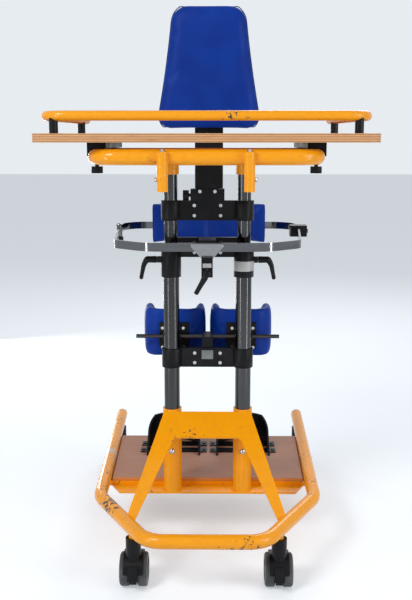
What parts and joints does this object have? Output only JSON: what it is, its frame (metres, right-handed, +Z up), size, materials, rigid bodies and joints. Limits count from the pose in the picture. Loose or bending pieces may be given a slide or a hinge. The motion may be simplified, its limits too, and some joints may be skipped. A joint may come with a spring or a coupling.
{
  "type": "child standing frame",
  "caption": "Wheeled upright standing frame with twin telescopic posts, footboard, padded knee cups, hinged hip hoop, back pad and a railed tray.",
  "frame": {"origin": "centre of the object's footprint, on the floor", "axes": "+Z up, -Y towards the front bar, +Y towards the rear where the user steps in, +X to the right seen from the front"},
  "size_m": [0.7, 0.882, 1.35],
  "materials": {
    "yellow_paint": "gloss yellow-orange powder coat, chipped at the edges",
    "chrome": "bright chrome plate",
    "black_metal": "satin black coat",
    "black_plastic": "moulded black plastic",
    "tyre_grey": "grey rubber tread",
    "pad_blue": "royal blue coated upholstery",
    "ply_board": "lacquered plywood",
    "ply_tray": "lacquered plywood"
  },
  "bodies": {
    "base": {"base_frame": "yellow_paint", "tube_caps": "black_plastic", "footboard_frame": "yellow_paint", "footboard": "ply_board", "footboard_screws": "chrome", "heel_cup_left": "black_plastic", "heel_cup_right": "black_plastic", "post_sleeves": "yellow_paint", "sleeve_bolts": "chrome", "brace_plate": "yellow_paint", "lower_posts": "chrome", "hip_bracket": "black_metal", "hoop_arm": "black_metal", "clamp_plate": "chrome", "front_hoop": "chrome", "hoop_hinge": "chrome", "latch_box": "black_plastic"},
    "clamp_lever_left": {"clamp_lever_left": "black_plastic"},
    "clamp_lever_right": {"clamp_lever_right": "black_plastic"},
    "hoop_lever": {"hoop_lever": "black_plastic"},
    "latch_tongue": {"latch_tongue": "chrome"},
    "gate": {"hoop_gate": "chrome", "back_bracket": "black_metal", "hip_pad": "pad_blue"},
    "back_support": {"back_column": "black_metal", "back_pad": "pad_blue"},
    "back_knob": {"back_knob": "black_plastic"},
    "mast": {"upper_posts": "chrome", "chest_bracket": "black_metal", "upper_screws": "chrome", "tray_frame": "yellow_paint"},
    "chest_knob": {"chest_knob": "black_plastic"},
    "tray_knob_left": {"tray_knob_left": "black_plastic"},
    "tray_knob_right": {"tray_knob_right": "black_plastic"},
    "tray": {"tray_board": "ply_tray", "tray_slides": "black_metal", "tray_rail": "yellow_paint", "rail_standoffs": "black_plastic"},
    "knee_carriage": {"knee_collars": "black_metal", "knee_bracket": "black_metal", "knee_screws": "chrome", "knee_rod": "chrome"},
    "knee_left": {"knee_cup_left": "black_metal", "knee_pad_left": "pad_blue"},
    "knee_right": {"knee_cup_right": "black_metal", "knee_pad_right": "pad_blue"},
    "castor_front_left": {"castor_hood_front_left": "black_plastic"},
    "wheels_front_left": {"castor_wheels_front_left": "black_plastic", "castor_tyres_front_left": "tyre_grey"},
    "castor_front_right": {"castor_hood_front_right": "black_plastic"},
    "wheels_front_right": {"castor_wheels_front_right": "black_plastic", "castor_tyres_front_right": "tyre_grey"},
    "castor_rear_left": {"castor_hood_rear_left": "black_plastic"},
    "wheels_rear_left": {"castor_wheels_rear_left": "black_plastic", "castor_tyres_rear_left": "tyre_grey"},
    "castor_rear_right": {"castor_hood_rear_right": "black_plastic"},
    "wheels_rear_right": {"castor_wheels_rear_right": "black_plastic", "castor_tyres_rear_right": "tyre_grey"},
    "brake_left": {"brake_tab_left": "black_plastic"},
    "brake_right": {"brake_tab_right": "black_plastic"}
  },
  "joints": [
    {"name": "castor_swivel_front_left", "type": "hinge", "parent": "base", "child": "castor_front_left", "pos_m": [-0.162, -0.3638, 0.0375], "axis": [0, 0, 1], "continuous": true},
    {"name": "wheel_roll_front_left", "type": "hinge", "parent": "castor_front_left", "child": "wheels_front_left", "pos_m": [-0.162, -0.3498, 0.0375], "axis": [1, 0, 0], "continuous": true},
    {"name": "castor_swivel_front_right", "type": "hinge", "parent": "base", "child": "castor_front_right", "pos_m": [0.162, -0.3638, 0.0375], "axis": [0, 0, 1], "continuous": true},
    {"name": "wheel_roll_front_right", "type": "hinge", "parent": "castor_front_right", "child": "wheels_front_right", "pos_m": [0.162, -0.3498, 0.0375], "axis": [1, 0, 0], "continuous": true},
    {"name": "castor_swivel_rear_left", "type": "hinge", "parent": "base", "child": "castor_rear_left", "pos_m": [-0.27162, 0.38, 0.0375], "axis": [0, 0, 1], "continuous": true},
    {"name": "wheel_roll_rear_left", "type": "hinge", "parent": "castor_rear_left", "child": "wheels_rear_left", "pos_m": [-0.27162, 0.394, 0.0375], "axis": [1, 0, 0], "continuous": true},
    {"name": "castor_swivel_rear_right", "type": "hinge", "parent": "base", "child": "castor_rear_right", "pos_m": [0.27162, 0.38, 0.0375], "axis": [0, 0, 1], "continuous": true},
    {"name": "wheel_roll_rear_right", "type": "hinge", "parent": "castor_rear_right", "child": "wheels_rear_right", "pos_m": [0.27162, 0.394, 0.0375], "axis": [1, 0, 0], "continuous": true},
    {"name": "brake_left_turn", "type": "hinge", "parent": "castor_front_left", "child": "brake_left", "pos_m": [-0.162, -0.38903, 0.06015], "axis": [1, 0, 0], "range_deg": [-50, 0]},
    {"name": "brake_right_turn", "type": "hinge", "parent": "castor_front_right", "child": "brake_right", "pos_m": [0.162, -0.38903, 0.06015], "axis": [1, 0, 0], "range_deg": [-50, 0]},
    {"name": "clamp_lever_left_turn", "type": "hinge", "parent": "base", "child": "clamp_lever_left", "pos_m": [-0.121, -0.1, 0.705], "axis": [1, 0, 0], "range_deg": [-90, 90]},
    {"name": "clamp_lever_right_turn", "type": "hinge", "parent": "base", "child": "clamp_lever_right", "pos_m": [0.121, -0.1, 0.705], "axis": [1, 0, 0], "range_deg": [-90, 90]},
    {"name": "hoop_lever_turn", "type": "hinge", "parent": "base", "child": "hoop_lever", "pos_m": [0, -0.19651, 0.6875], "axis": [0, -1, 0], "range_deg": [-60, 60]},
    {"name": "latch_tongue_turn", "type": "hinge", "parent": "base", "child": "latch_tongue", "pos_m": [0.2665, 0.19, 0.7435], "axis": [1, 0, 0], "range_deg": [0, 80]},
    {"name": "gate_swing", "type": "hinge", "parent": "base", "child": "gate", "pos_m": [-0.244, 0.2, 0.7435], "axis": [0, 0, 1], "range_deg": [0, 110]},
    {"name": "back_support_slide", "type": "slide", "parent": "gate", "child": "back_support", "axis": [0, 0, 1], "range_m": [-0.04, 0.1]},
    {"name": "back_knob_turn", "type": "hinge", "parent": "gate", "child": "back_knob", "pos_m": [0, 0.346, 0.7725], "axis": [0, 1, 0], "continuous": true},
    {"name": "mast_slide", "type": "slide", "parent": "base", "child": "mast", "axis": [0, 0, 1], "range_m": [-0.02, 0.15]},
    {"name": "chest_knob_turn", "type": "hinge", "parent": "mast", "child": "chest_knob", "pos_m": [-0.04, -0.1, 0.858], "axis": [1, 0, 0], "continuous": true},
    {"name": "tray_knob_left_turn", "type": "hinge", "parent": "mast", "child": "tray_knob_left", "pos_m": [-0.228, -0.328, 0.936], "axis": [0, 0, 1], "continuous": true},
    {"name": "tray_knob_right_turn", "type": "hinge", "parent": "mast", "child": "tray_knob_right", "pos_m": [0.228, -0.328, 0.936], "axis": [0, 0, 1], "continuous": true},
    {"name": "tray_slide", "type": "slide", "parent": "mast", "child": "tray", "axis": [0, 1, 0], "range_m": [-0.03, 0.02]},
    {"name": "knee_carriage_slide", "type": "slide", "parent": "base", "child": "knee_carriage", "axis": [0, 0, 1], "range_m": [-0.09, 0.1]},
    {"name": "knee_left_slide", "type": "slide", "parent": "knee_carriage", "child": "knee_left", "axis": [1, 0, 0], "range_m": [-0.025, 0]},
    {"name": "knee_right_slide", "type": "slide", "parent": "knee_carriage", "child": "knee_right", "axis": [1, 0, 0], "range_m": [0, 0.025]}
  ]
}
